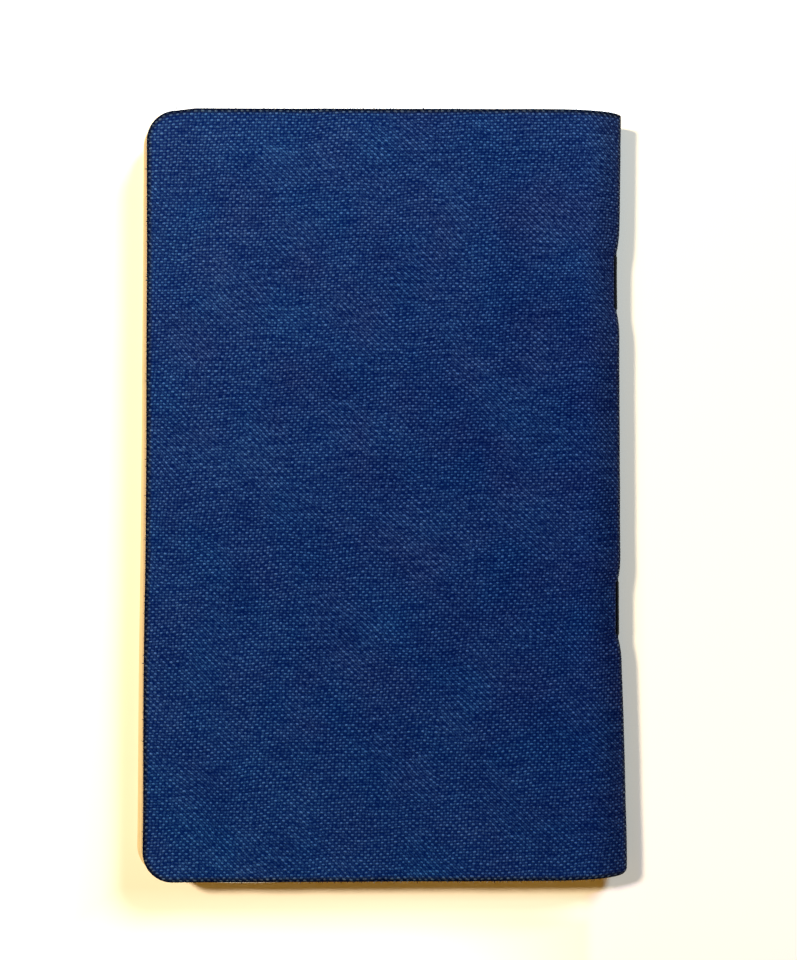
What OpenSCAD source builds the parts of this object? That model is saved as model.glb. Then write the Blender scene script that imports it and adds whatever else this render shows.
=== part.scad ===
// Cloth-covered pocket book lying closed on its front cover, rear cover up.
// One section of folded sheets is wire stitched through the fold of a stiff cloth-covered cover.
// Cover and sheets were cut to one size with round fore-edge corners and folded together, so the
// inner sheets stand out at the fore-edge, most where the section is folded a little askew.
// +Y is the head, +X the spine, +Z up. The origin is under the middle of the closed book.

/* [Book] */
// Width of the closed cover, fore-edge to outermost fold
book_w = 103.5; // [80:0.5:130]
// Height of the book, head to tail
book_h = 165; // [150:1:220]
// Thickness of the closed book over both covers
book_thick = 6.8; // [5.5:0.1:10]
// Radius of the two die-cut corners at the fore-edge
corner_r = 6.4; // [3:0.1:15]

/* [Cover] */
// Thickness of the woven book cloth
cloth_t = 0.4; // [0.2:0.05:0.6]
// Thickness of the stiff card that the cloth is glued to
card_t = 0.5; // [0.3:0.05:0.8]
// Thickness of the endpaper pasted inside the card
endpaper_t = 0.12; // [0.08:0.02:0.2]

/* [Spine] */
// Length of the curved stretch between a flat cover panel and the outermost fold
roll_len = 16.5; // [10:0.5:22]
// How far the fold lies inside its outermost line at the head
head_inset = 0.45; // [0:0.05:1]
// How far the fold lies inside its outermost line between the stitches
middle_inset = 1.05; // [0.5:0.05:1.3]
// Size of the worn-off corner of the cover at the tail of the spine
tail_wear = 1.4; // [0.4:0.1:3]
// Gap between the two cover halves along the fold
fold_gap = 0.1; // [0.05:0.05:0.3]
// Air between the endpapers and the outermost fold of the leaves
page_gap = 0.15; // [0.1:0.05:0.4]

/* [Leaves] */
// How far the innermost sheet stands out past the covers at the head
creep_head = 1.6; // [0:0.1:2.5]
// How far the innermost sheet stands out past the covers at the tail
creep_tail = 2.3; // [0:0.1:3]

/* [Wire stitches] */
// Diameter of the stitching wire
wire_d = 0.75; // [0.5:0.05:0.9]
// Length of a crown, leg centre to leg centre
crown_len = 12.3; // [11:0.1:16]
// Middle of the stitch nearer the head
upper_stitch_y = 45.8; // [35:0.1:55]
// Middle of the stitch nearer the tail
lower_stitch_y = -25.2; // [-45:0.1:-15]
// How far a crown's outer side lies inside the outermost fold
crown_inset = 1.4; // [1.3:0.05:1.8]
// Length along the fold over which the cover is drawn in towards a crown's end
pinch_reach = 5; // [3:0.5:6]
// Length over which the cover rises steeply beside a crown's end
groove_reach = 0.5; // [0.3:0.05:0.8]
// Length of each leg's clinched end
clinch_len = 4.6; // [3:0.1:5]
// Inside radius of the wire's bends
bend_r = 0.3; // [0.2:0.05:0.6]
// Clearance round the wire where it is pierced through
wire_clear = 0.06; // [0.03:0.01:0.12]

/* [Hidden] */
cloth_blue = "#1b3f78";
card_buff = "#c9b48c";
paper_cream = "#efe6cf";
wire_grey = "#4b4640";

// Round surfaces
$fn = 48;
// Segments of a leaf's round corner
corner_steps = 12;
// Segments of the quarter ellipse that each cover surface follows round the fold
roll_steps = 8;
// How far the rolled stretch runs into the flat panel, so that the two are one
lap = 1;

half_t = book_thick / 2;
head_y = book_h / 2;

// How far the innermost sheet stands out at height y
function creep(y) = creep_tail + (creep_head - creep_tail) * (y + head_y) / book_h;

// The closed book, standing-out sheets included, lies evenly about the origin
creep_most = max(creep(corner_r - head_y), creep(head_y - corner_r));
fore_x = (creep_most - book_w) / 2;
spine_x = (creep_most + book_w) / 2;
flat_x = spine_x - roll_len;

// Depths of the cover's surfaces below its outer face
under_cloth = cloth_t;
under_card = under_cloth + card_t;
under_endpaper = under_card + endpaper_t;

// Stitches: a crown lies on the cloth, and its legs reach past the innermost fold
stitch_ys = [upper_stitch_y, lower_stitch_y];
crown_half = crown_len / 2;
wire_r = wire_d / 2;
crown_seat = crown_inset + wire_d + wire_clear;
crown_x = spine_x - crown_inset - wire_r;
// A leg passes through every sheet's fold, half the thickness of the leaves
fold_depth = half_t - under_endpaper;
clinch_x = spine_x - crown_seat - under_endpaper - page_gap - fold_depth - wire_r;

// Half the length of the groove that a crown lies in
groove_half = crown_half + wire_r + wire_clear;

// Outer ends of the two grooves, from where the fold bulges towards head and tail
upper_end = upper_stitch_y + groove_half;
lower_end = lower_stitch_y - groove_half;

// 1 at t = 0 down to 0 at t = 1, steep at first and held at both ends
function fade(t, power) = pow(1 - min(1, max(0, t)), power);

// How far the fold is drawn in at height y where no crown holds it
function free_inset(y) =
  y > upper_end ? head_inset + (middle_inset - head_inset) * fade((y - upper_end) / (head_y - upper_end), 1.5) :
  y < lower_end ? middle_inset * fade((lower_end - y) / (lower_end + head_y - tail_wear), 1.5) :
  middle_inset;

// 1 under a crown, then half of it falls away in the groove's end and half over pinch_reach
function pinch(y) = max([
  for (s = stitch_ys)
    let (past = max(0, abs(y - s) - groove_half))
    (fade(past / groove_reach, 1) + fade(past / pinch_reach, 2)) / 2
]);

// Quarter-round wear at the tail's corner
function wear(y) =
  let (t = max(0, 1 - (y + head_y) / tail_wear))
  tail_wear * (1 - sqrt(1 - t * t));

// Distance from the outermost fold line in to the cloth at height y
function spine_inset(y) = free_inset(y) + (crown_seat - free_inset(y)) * pinch(y) + wear(y);

// Distance from a stitch's middle to where it no longer draws the fold in
waist_from = groove_half + pinch_reach;

// Heights inside the stretch from a to b, from a's side, after n equal steps each
function steps(a, b, n) = [for (i = [1:n - 1]) a + (b - a) * i / n];

// Heights beside a groove's end, closest together where the cover rises steeply
function beside(y, way) = [
  for (d = [0, groove_reach / 2, groove_reach, 0.3 * pinch_reach, 0.6 * pinch_reach, pinch_reach])
    y + way * d
];

// Heights over one groove and both of its ends, from the tail's side to the head's
function around(s) = concat(
  [for (i = [5:-1:0]) beside(s - groove_half, -1)[i]],
  beside(s + groove_half, 1)
);

// Heights at which the fold's section is drawn
stations = concat(
  [for (t = [0, 0.15, 0.4, 0.7, 1]) -head_y + tail_wear * t],
  steps(-head_y + tail_wear, lower_end - pinch_reach, 6),
  around(lower_stitch_y),
  steps(lower_stitch_y + waist_from, upper_stitch_y - waist_from, 4),
  around(upper_stitch_y),
  steps(upper_end + pinch_reach, head_y, 4),
  [head_y]
);

// Quarter ellipse in x and z, from the fold's middle plane up to the flat panel and a little way into it.
// depth is the surface's depth in the cover, and floor_z the height above the middle plane where it starts.
function fold_curve(y, depth, floor_z) = [
  for (i = [0:roll_steps + 1])
    let (u = 90 * min(i, roll_steps) / roll_steps)
    [
      flat_x + (roll_len - spine_inset(y) - depth) * cos(u) - (i > roll_steps ? lap : 0),
      floor_z + (half_t - min(depth, under_endpaper) - floor_z) * sin(u)
    ]
];

// The same points in the other order
function back(points) = [for (i = [len(points) - 1:-1:0]) points[i]];

// Skins one closed section per station into a solid. The section is a list of [x, z],
// paired from its two ends inward, so each cap is a strip of quads.
module skin(sections) {
  n = len(sections[0]);
  last = len(sections) - 1;
  points = [for (k = [0:last]) for (p = sections[k]) [p[0], stations[k], p[1]]];
  // Outer and inner curves are split along the same diagonals, so that layers meet without slivers
  sides = [
    for (k = [0:last - 1]) for (i = [0:n - 1])
      let (a = k * n + i, b = k * n + (i + 1) % n)
      for (face = i < n / 2 ? [[a, b, b + n], [a, b + n, a + n]] : [[a, b, a + n], [b, b + n, a + n]]) face
  ];
  caps = [
    for (i = [0:n / 2 - 2])
      let (a = i, b = i + 1, c = n - 2 - i, d = n - 1 - i, top = last * n)
      for (face = [
        [a, c, b], [a, d, c],
        [top + a, top + b, top + c], [top + a, top + c, top + d]
      ]) face
  ];
  polyhedron(points = points, faces = concat(sides, caps));
}

// Trimmed outline from the fore-edge to where the panels stop being flat
module panel_outline() {
  difference() {
    polygon([[fore_x, -head_y], [flat_x, -head_y], [flat_x, head_y], [fore_x, head_y]]);
    for (side = [-1, 1])
      translate([fore_x, side * head_y]) square(2 * corner_r, center = true);
  }
  for (side = [-1, 1])
    translate([fore_x + corner_r, side * (head_y - corner_r)]) circle(corner_r);
}

// Slab of the trimmed outline between two heights
module trimmed_slab(low, high) {
  translate([0, 0, low]) linear_extrude(high - low) panel_outline();
}

// Wire along Y between two heights
module wire_along(x, y0, y1, r) {
  translate([x, y0, half_t]) rotate([-90, 0, 0]) cylinder(r = r, h = y1 - y0);
}

// Quarter bend that joins a run along Y with a leg along X
module wire_bend(x, y, turn, r) {
  translate([x, y, half_t]) rotate([0, 0, turn])
    rotate_extrude(angle = 90) translate([bend_r + wire_r, 0]) circle(r);
}

// One stitch: crown outside, two legs through the fold, two clinched ends inside
module stitch_shape(middle, r) {
  bend = bend_r + wire_r;
  wire_along(crown_x, middle - crown_half + bend, middle + crown_half - bend, r);
  for (side = [0, 1]) translate([0, middle, 0]) mirror([0, side, 0]) {
    wire_bend(crown_x - bend, crown_half - bend, 0, r);
    translate([clinch_x + bend, crown_half, half_t]) rotate([0, 90, 0])
      cylinder(r = r, h = crown_x - clinch_x - 2 * bend);
    wire_bend(clinch_x + bend, crown_half - bend, 90, r);
    wire_along(clinch_x, crown_half - clinch_len, crown_half - bend, r);
  }
}

// Room that the wire takes in whatever it is pierced through
module stitch_tunnels() {
  for (s = stitch_ys) stitch_shape(s, wire_r + wire_clear);
}

// One layer of the rear cover between two depths: flat panel and the roll down to the fold
module rear_layer(outer, inner) {
  difference() {
    union() {
      trimmed_slab(book_thick - inner, book_thick - outer);
      translate([0, 0, half_t]) skin([
        for (y = stations) concat(
          fold_curve(y, outer, fold_gap / 2),
          back(fold_curve(y, inner, fold_gap / 2))
        )
      ]);
    }
    stitch_tunnels();
  }
}

// The front cover is the rear one turned over about the fold's middle plane
module front_layer(outer, inner) {
  translate([0, 0, book_thick]) mirror([0, 0, 1]) rear_layer(outer, inner);
}

module rear_cover_cloth() { color(cloth_blue) rear_layer(0, under_cloth); }
module rear_cover_card() { color(card_buff) rear_layer(under_cloth, under_card); }
module rear_endpaper() { color(paper_cream) rear_layer(under_card, under_endpaper); }
module front_cover_cloth() { color(cloth_blue) front_layer(0, under_cloth); }
module front_cover_card() { color(card_buff) front_layer(under_cloth, under_card); }
module front_endpaper() { color(paper_cream) front_layer(under_card, under_endpaper); }

// Point on a leaf's round corner, from the head or tail edge at turn 0 to the fore-edge at turn 90.
// share is the part of the creep by which the leaf stands out.
function leaf_corner(turn, side, share) =
  let (y = side * (head_y - corner_r * (1 - cos(turn))))
  [fore_x + corner_r * (1 - sin(turn)) - share * creep(y), y];

// Outline of a leaf's flat part, from the head round the fore-edge to the tail
function leaf_outline(share) = concat(
  [[flat_x, head_y]],
  [for (turn = [0:90 / corner_steps:90]) leaf_corner(turn, 1, share)],
  [for (turn = [90:-90 / corner_steps:0]) leaf_corner(turn, -1, share)],
  [[flat_x, -head_y]]
);

// Solid through equally long outlines, one above the other, given as [z, outline] from the lowest up
module stack(levels) {
  n = len(levels[0][1]);
  last = len(levels) - 1;
  points = [for (level = levels) for (p = level[1]) [p[0], p[1], level[0]]];
  sides = [
    for (k = [0:last - 1]) for (i = [0:n - 1])
      let (a = k * n + i, b = k * n + (i + 1) % n)
      for (face = [[a, a + n, b + n], [a, b + n, b]]) face
  ];
  caps = [[for (i = [0:n - 1]) i], [for (i = [n - 1:-1:0]) last * n + i]];
  polyhedron(points = points, faces = concat(sides, caps));
}

// The section of leaves: its folded edge follows the inside of the cover, and its fore-edge is a
// blunt V, because the nearer a sheet lies to the middle the further it stands out
module text_block() {
  fold_face = under_endpaper + page_gap;
  color(paper_cream) difference() {
    union() {
      stack([
        [under_endpaper, leaf_outline(0)],
        [half_t, leaf_outline(1)],
        [book_thick - under_endpaper, leaf_outline(0)]
      ]);
      translate([0, 0, half_t]) skin([
        for (y = stations)
          let (upper = fold_curve(y, fold_face, fold_gap / 2))
          concat(upper, back([for (p = upper) [p[0], -p[1]]]))
      ]);
    }
    stitch_tunnels();
  }
}

module upper_stitch() { color(wire_grey) stitch_shape(upper_stitch_y, wire_r); }
module lower_stitch() { color(wire_grey) stitch_shape(lower_stitch_y, wire_r); }

rear_cover_cloth();
rear_cover_card();
rear_endpaper();
front_cover_cloth();
front_cover_card();
front_endpaper();
text_block();
upper_stitch();
lower_stitch();
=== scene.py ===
import math

import bmesh
import bpy
import numpy as np
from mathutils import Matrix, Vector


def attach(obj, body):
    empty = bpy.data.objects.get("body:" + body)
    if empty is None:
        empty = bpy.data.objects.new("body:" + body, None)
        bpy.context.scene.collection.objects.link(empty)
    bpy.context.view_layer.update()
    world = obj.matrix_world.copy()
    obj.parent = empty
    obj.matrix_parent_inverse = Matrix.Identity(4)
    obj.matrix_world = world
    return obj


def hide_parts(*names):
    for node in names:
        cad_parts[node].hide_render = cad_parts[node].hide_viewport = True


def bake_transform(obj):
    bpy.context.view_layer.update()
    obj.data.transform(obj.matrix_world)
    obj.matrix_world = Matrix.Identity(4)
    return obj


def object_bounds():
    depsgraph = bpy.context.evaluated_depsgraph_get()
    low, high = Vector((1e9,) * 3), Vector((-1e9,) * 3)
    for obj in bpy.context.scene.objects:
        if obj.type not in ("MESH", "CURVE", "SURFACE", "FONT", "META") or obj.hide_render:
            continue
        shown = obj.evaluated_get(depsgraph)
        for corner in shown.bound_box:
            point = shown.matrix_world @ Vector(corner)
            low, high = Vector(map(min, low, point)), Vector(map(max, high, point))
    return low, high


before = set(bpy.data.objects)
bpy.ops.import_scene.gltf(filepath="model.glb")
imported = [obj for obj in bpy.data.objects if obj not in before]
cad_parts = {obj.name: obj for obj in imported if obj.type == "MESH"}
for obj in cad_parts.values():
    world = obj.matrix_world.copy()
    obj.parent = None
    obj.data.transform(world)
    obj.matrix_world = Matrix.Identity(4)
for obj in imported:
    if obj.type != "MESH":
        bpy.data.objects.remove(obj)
CAD_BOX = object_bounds()

bl_info = {
    "name": "Cloth-covered pocket book",
    "version": (1, 0, 0),
    "blender": (4, 5, 0),
    "location": "3D View > Sidebar > Pocket book",
    "description": "Dresses the packed pocket book in woven cloth, card, folded sheets and stitching wire",
    "category": "Add Mesh",
}

# Lengths are in millimetres until a mesh is made, and follow the solids' own sizes
MM = 0.001
COVER_W = 103.5
LOW = np.array(CAD_BOX[0]) / MM
HIGH = np.array(CAD_BOX[1]) / MM
HEAD_Y = HIGH[1]
SPINE_X = HIGH[0]
FORE_X = SPINE_X - COVER_W
THICK = HIGH[2]
HALF_T = THICK / 2
CORNER_R = 6.4
HEAD_SLIP = 0.5
SLIP_RUN = 4.0
CLOTH_T = 0.4
CARD_T = 0.5
ENDPAPER_T = 0.12
UNDER_CLOTH = CLOTH_T
UNDER_CARD = UNDER_CLOTH + CARD_T
UNDER_ENDPAPER = UNDER_CARD + ENDPAPER_T
ROLL_LEN = 16.5
FLAT_X = SPINE_X - ROLL_LEN
HEAD_INSET = 0.45
MIDDLE_INSET = 1.05
TAIL_WEAR = 1.4
PAGE_GAP = 0.15
CREEP = {"head": 1.6, "tail": 2.3}
STITCH_Y = {"upper": 45.8, "lower": -25.2}
WIRE_D = 0.75
CROWN_LEN = 12.3
CROWN_INSET = 1.4
BEND_R = 0.3
CLINCH_LEN = 4.6
# The crown is bedded this far into the cloth, and the groove closes over its rounded corners
WIRE_CLEAR = -0.05
PINCH_REACH = 5.0
GROOVE_REACH = 0.25
CORNER_LAP = 0.8
# Degrees above the middle plane between which the groove fades out
GROOVE_FADE = (7, 24)
CROWN_SEAT = CROWN_INSET + WIRE_D + WIRE_CLEAR
GROOVE_HALF = CROWN_LEN / 2 + WIRE_D / 2 + WIRE_CLEAR
UPPER_END = STITCH_Y["upper"] + GROOVE_HALF
LOWER_END = STITCH_Y["lower"] - GROOVE_HALF
# Share of a sheet's room in the section that its paper fills
PAPER_SHARE = 0.86
# How far inside the fold lie the two points that hinge_blend gives for a cover's bend
BEND_FROM = 2.4
BEND_TO = 5.6
# Lamps: name, place and size in metres, power in watts, colour
LAMPS = (
    ("window_lamp", (-0.492, 0.284, 0.45), 0.09, 8.8, (1.0, 0.79, 0.5)),
    ("fill_lamp", (0.582, 0.811, 0.507), 0.28, 13.8, (0.66, 0.86, 0.955)),
)
# Camera found from the outline: place from the fold, turn in radians and focal length in picture heights
CAMERA_PLACE = (-50.391, 0.406, 166.155)
CAMERA_TURN = (0.01396, -0.00624, -0.00108)
CAMERA_FOCUS = 746.97 / 960


def linear(hex_colour, alpha=1.0):
    """sRGB hex colour as linear RGBA."""
    parts = np.array([int(hex_colour[i:i + 2], 16) for i in (1, 3, 5)]) / 255
    low, high = parts / 12.92, ((parts + 0.055) / 1.055) ** 2.4
    return (*np.where(parts <= 0.04045, low, high), alpha)


class PocketBookSizes(bpy.types.PropertyGroup):
    """Sizes of the dressed book"""

    warp_pitch: bpy.props.FloatProperty(
        name="Warp pitch", description="Distance between the cloth's upright threads",
        default=0.705 * MM, unit="LENGTH", precision=6)
    weft_pitch: bpy.props.FloatProperty(
        name="Weft pitch", description="Distance between the cloth's cross threads",
        default=0.624 * MM, unit="LENGTH", precision=6)
    warp_lean: bpy.props.FloatProperty(
        name="Warp lean", description="How far the upright threads lean towards the spine at the head",
        default=math.radians(5.8), unit="ROTATION")
    weft_rise: bpy.props.FloatProperty(
        name="Weft rise", description="How far the cross threads rise towards the spine",
        default=math.radians(1.3), unit="ROTATION")
    sheets: bpy.props.IntProperty(
        name="Sheets", description="Folded sheets nested in the one section", default=24, min=4, max=60)
    edge_softness: bpy.props.FloatProperty(
        name="Edge softness", description="Radius of the cloth's worn cut edge",
        default=0.16 * MM, unit="LENGTH", precision=6)
    loose_ends: bpy.props.IntProperty(
        name="Loose ends", description="Thread ends standing out of each cover's cut edge", default=260, min=0)


class PocketBookColours(bpy.types.PropertyGroup):
    """Colours of the dressed book, as linear values of the sRGB hex colours"""

    # Painted shade: the ground is darker partly because the hollows between the threads lie in shade
    cloth_ground_painted_shade: bpy.props.FloatVectorProperty(
        name="Cloth ground", description="Cloth between and below the raised threads",
        subtype="COLOR", size=4, default=linear("#001043"))
    # Painted light: the knuckles are lighter and greyer partly as a highlight where the raised threads catch
    # the lamps
    cloth_knuckle_painted_light: bpy.props.FloatVectorProperty(
        name="Cloth knuckle", description="Tops of the raised threads",
        subtype="COLOR", size=4, default=linear("#3c4975"))
    card: bpy.props.FloatVectorProperty(
        name="Card", description="Card inside the covers", subtype="COLOR", size=4, default=linear("#b79f78"))
    paper: bpy.props.FloatVectorProperty(
        name="Paper", description="Leaves and endpapers", subtype="COLOR", size=4, default=linear("#dcd2b3"))
    dust: bpy.props.FloatVectorProperty(
        name="Dust", description="Grime along the cut edges and the fold",
        subtype="COLOR", size=4, default=linear("#22282b"))
    fray: bpy.props.FloatVectorProperty(
        name="Fray", description="Undyed hearts of the cut threads",
        subtype="COLOR", size=4, default=linear("#a3a7ab"))
    wire: bpy.props.FloatVectorProperty(
        name="Wire", description="Tarnished stitching wire", subtype="COLOR", size=4, default=linear("#191a1e"))
    floor: bpy.props.FloatVectorProperty(
        name="Floor", description="Pale surface under the book",
        subtype="COLOR", size=4, default=linear("#f7f7f6"))


# Shapes

def fade(t, power):
    """1 at t = 0 down to 0 at t = 1: (1 - t) to the given power, held at both ends."""
    return (1 - np.clip(t, 0, 1)) ** power


def spine_inset(y, near=1.0):
    """How far the fold lies inside its outermost line at height y: the free fold's bulge, the pinch at
    each wire and the worn tail corner, added up as the solids do. The groove is shorter than in the
    solids, so that the cloth closes over the wire's rounded corners, and is scaled by near."""
    y = np.asarray(y, float)
    head = HEAD_INSET + (MIDDLE_INSET - HEAD_INSET) * fade((y - UPPER_END) / (HEAD_Y - UPPER_END), 1.5)
    tail = MIDDLE_INSET * fade((LOWER_END - y) / (LOWER_END + HEAD_Y - TAIL_WEAR), 1.5)
    free = np.where(y > UPPER_END, head, np.where(y < LOWER_END, tail, MIDDLE_INSET))
    past = np.min([np.abs(y - s) for s in STITCH_Y.values()], axis=0) - GROOVE_HALF
    pinch = (near * fade((past + CORNER_LAP) / GROOVE_REACH, 1) + fade(past / PINCH_REACH, 2)) / 2
    t = np.clip(1 - (y + HEAD_Y) / TAIL_WEAR, 0, 1)
    return free + (CROWN_SEAT - free) * pinch + TAIL_WEAR * (1 - np.sqrt(1 - t * t))


def trim_wander(y):
    """How far the knife's cut at the fore-edge strays from straight: a smooth step of a fifth of a
    millimetre each way below the middle, a little less at both ends, and a slow wave."""
    ends = 0.12 * fade((HEAD_Y - y) / 25, 1) + 0.1 * fade((y + HEAD_Y) / 16, 1)
    return 0.08 + 0.19 * np.tanh((y + 22) / 10) - ends + 0.02 * np.sin(y / 6.1)


def fore_edge(y):
    """x of the trimmed fore-edge at height y: straight, then a quarter circle at each die-cut corner. At
    the head the die sat half a millimetre low, which leaves a short slope up to the head's edge."""
    slip = np.where(y > 0, HEAD_SLIP, 0.0)
    past = np.clip(np.abs(y) - (HEAD_Y - CORNER_R - slip), 0, CORNER_R)
    slope = SLIP_RUN * np.clip(y - HEAD_Y + HEAD_SLIP, 0, None) / HEAD_SLIP
    return FORE_X + CORNER_R - np.sqrt(CORNER_R ** 2 - past ** 2) + slope + trim_wander(y)


def cut_distance(x, y):
    """Distance in from the nearest cut edge: head, tail, fore-edge or the arc of a rounded corner."""
    left = x - FORE_X - trim_wander(y)
    slip = np.where(y > 0, HEAD_SLIP, 0.0)
    ends = HEAD_Y - np.abs(y) - slip * np.clip(1 - (left - CORNER_R) / SLIP_RUN, 0, 1)
    past = np.abs(y) - (HEAD_Y - CORNER_R - slip)
    arc = CORNER_R - np.hypot(left - CORNER_R, past)
    near_corner = (past > 0) & (left < CORNER_R)
    return np.clip(np.where(near_corner, np.minimum(arc, ends), np.minimum(left, ends)), 0, None)


def spaced(values, least):
    """The sorted values without those that lie closer than least to the one before."""
    values = np.unique(np.concatenate(values))
    last = values[-1]
    keep = np.concatenate([[True], np.diff(values) > least])
    values = values[keep]
    values[-1] = last
    return values


def heights(step, rim):
    """Heights of a layer's rows: even steps, closer together at head and tail, round the die-cut corners
    and beside each wire's groove."""
    arc = CORNER_R * (1 - np.sin(np.radians(np.linspace(0, 88, 13))))
    ends = HEAD_Y - np.concatenate([rim, arc, arc + HEAD_SLIP, [HEAD_SLIP / 3, HEAD_SLIP / 1.5]])
    beside = np.concatenate([np.linspace(0, GROOVE_REACH, 4) - CORNER_LAP,
                             [-1.4, -0.3, 0, 0.4, 0.8, 1.2, 1.8, 2.6, 3.6, PINCH_REACH]])
    grooves = [s + side * (GROOVE_HALF + beside) for s in STITCH_Y.values() for side in (-1, 1)]
    even = np.linspace(-HEAD_Y, HEAD_Y, int(2 * HEAD_Y / step) + 1)
    return spaced([even, ends, -ends, *grooves], 0.02)


def slow_relief(x, y, seed, size, amplitude):
    """Gentle unevenness: a sum of 24 plane waves in random directions, with lengths from size to 6 times
    size, each as high as it is long."""
    rng = np.random.default_rng(seed)
    total = 0
    waves = rng.uniform(0, math.pi, 24), size * 6 ** rng.uniform(0, 1, 24), rng.uniform(0, 7, 24)
    for turn, length, phase in zip(*waves):
        along = x * math.cos(turn) + y * math.sin(turn)
        total = total + length * np.sin(2 * math.pi * along / length + phase)
    return amplitude * total / (size * 12)


def roll_arc(angle):
    """Length along the fold's quarter ellipse from the middle plane up to each angle, by summed chords."""
    fine = np.linspace(0, math.pi / 2, 721)
    x, z = (ROLL_LEN - MIDDLE_INSET / 2) * np.cos(fine), HALF_T * np.sin(fine)
    length = np.concatenate([[0], np.cumsum(np.hypot(np.diff(x), np.diff(z)))])
    return np.interp(angle, fine, length)


def mesh_object(name, points, faces, uv=None, attributes=None, smooth=True):
    """A mesh object in metres at the origin from points in millimetres, with per-point UVs in
    millimetres along the surface and per-point numbers."""
    mesh = bpy.data.meshes.new(name)
    mesh.from_pydata(points * MM, [], faces)
    if uv is not None:
        corner = np.zeros(len(mesh.loops), np.int32)
        mesh.loops.foreach_get("vertex_index", corner)
        mesh.uv_layers.new(name="surface_mm").data.foreach_set("uv", uv[corner].astype(np.float32).ravel())
    for key, values in (attributes or {}).items():
        layer = mesh.attributes.new(key, "FLOAT", "POINT")
        layer.data.foreach_set("value", np.asarray(values, np.float32).ravel())
    shape = bmesh.new()
    shape.from_mesh(mesh)
    bmesh.ops.remove_doubles(shape, verts=shape.verts, dist=1e-6)
    bmesh.ops.recalc_face_normals(shape, faces=shape.faces)
    shape.to_mesh(mesh)
    shape.free()
    mesh.polygons.foreach_set("use_smooth", np.full(len(mesh.polygons), smooth))
    made = bpy.data.objects.new(name, mesh)
    bpy.context.scene.collection.objects.link(made)
    return made


def ring_faces(rows, ring):
    """Quads between neighbouring rows of closed rings of points."""
    r, c = np.meshgrid(np.arange(rows - 1), np.arange(ring), indexing="ij")
    a, b = r * ring + c, r * ring + (c + 1) % ring
    return np.stack([a, b, b + ring, a + ring], -1).reshape(-1, 4)


def cover_layer(name, outer, inner, rim_radius, front, step, relief=0.0, seed=1, loose_ends=0):
    """One layer of a cover between two depths. Each row runs along the outer face from the fold's middle
    plane up a quarter ellipse and across to the fore-edge, and back along the inner face. Towards the cut
    edge both faces close on the layer's middle as a half round: half thickness times the square root of
    1 - (1 - distance / radius) squared. UVs are millimetres along the sheet from the fold and up the
    book, so a weave runs on from one cover to the other. The front cover is the rear one mirrored
    through the middle plane."""
    rim = rim_radius * np.array([0, 0.04, 0.15, 0.35, 0.65, 1.0, 2.0, 4.0, 8.0])
    y = heights(step, rim)
    start = fore_edge(y)
    width = FLAT_X - FORE_X
    across = spaced([rim, np.linspace(0, width, int(width / step) + 1)], 0.02)
    flat_x = start[:, None] + across[None, :] * ((FLAT_X - start) / width)[:, None]
    turn = np.concatenate([np.linspace(90, 50, 16)[1:], np.linspace(48.5, 22, 22), np.linspace(20, 0, 12)])
    t = np.clip((turn - GROOVE_FADE[0]) / (GROOVE_FADE[1] - GROOVE_FADE[0]), 0, 1)
    turn = np.radians(turn)
    yy_flat, yy_roll = np.repeat(y[:, None], len(across), 1), np.repeat(y[:, None], len(turn), 1)
    half = (inner - outer) / 2
    distance = np.concatenate([cut_distance(flat_x, yy_flat), HEAD_Y - np.abs(yy_roll)], 1)
    close = np.sqrt(1 - (1 - np.clip(distance / rim_radius, 0, 1)) ** 2)
    u = np.concatenate([-roll_arc(math.pi / 2) - (FLAT_X - flat_x),
                        np.repeat(-roll_arc(turn)[None, :], len(y), 0)], 1)
    yy = np.concatenate([yy_flat, yy_roll], 1)
    raised = slow_relief(u, yy, seed, 5.0, relief) * close if relief else 0.0
    # The groove is as high as the wire, and fades out above and below it by a smooth step
    inset = spine_inset(y[:, None], 1 - t * t * (3 - 2 * t))

    def face(depth):
        lift = raised if depth == outer else 0.0
        deep = (outer + half) + (depth - outer - half) * close - lift
        flat, rolled = deep[:, :len(across)], deep[:, len(across):]
        x = np.concatenate([flat_x, FLAT_X + (ROLL_LEN - inset - rolled) * np.cos(turn)], 1)
        z = np.concatenate([THICK - flat, HALF_T + 0.01 + (HALF_T - rolled - 0.01) * np.sin(turn)], 1)
        return np.stack([x, yy, z], -1)

    outside, inside = face(outer)[:, ::-1], face(inner)
    points = np.concatenate([outside, inside], 1)
    ring = points.shape[1]
    points = points.reshape(-1, 3)
    surface = np.stack([u, yy], -1)
    surface = np.concatenate([surface[:, ::-1], surface], 1).reshape(-1, 2)
    cut = np.concatenate([distance[:, ::-1], distance], 1).ravel()
    faces, loose = ring_faces(len(y), ring), np.zeros(len(points))
    if loose_ends:
        ends = thread_ends(loose_ends, seed)
        faces = np.concatenate([faces, ends[1] + len(points)])
        points, surface = np.concatenate([points, ends[0]]), np.concatenate([surface, ends[2]])
        cut, loose = np.concatenate([cut, np.zeros(len(ends[0]))]), np.concatenate([loose, ends[3]])
    if front:
        points = points * [1, 1, -1] + [0, 0, THICK]
        surface = surface * [-1, 1]
    return mesh_object(name, points, faces, surface, {"cut_mm": cut, "loose": loose})


def on_cover(x, y, depth):
    """Height of the rear cover's layer at a depth: the flat panel, and the quarter ellipse round the fold."""
    turn = np.clip((x - FLAT_X) / (ROLL_LEN - spine_inset(y) - depth), 0, 1)
    return HALF_T + (HALF_T - depth) * np.sqrt(1 - turn ** 2)


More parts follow.
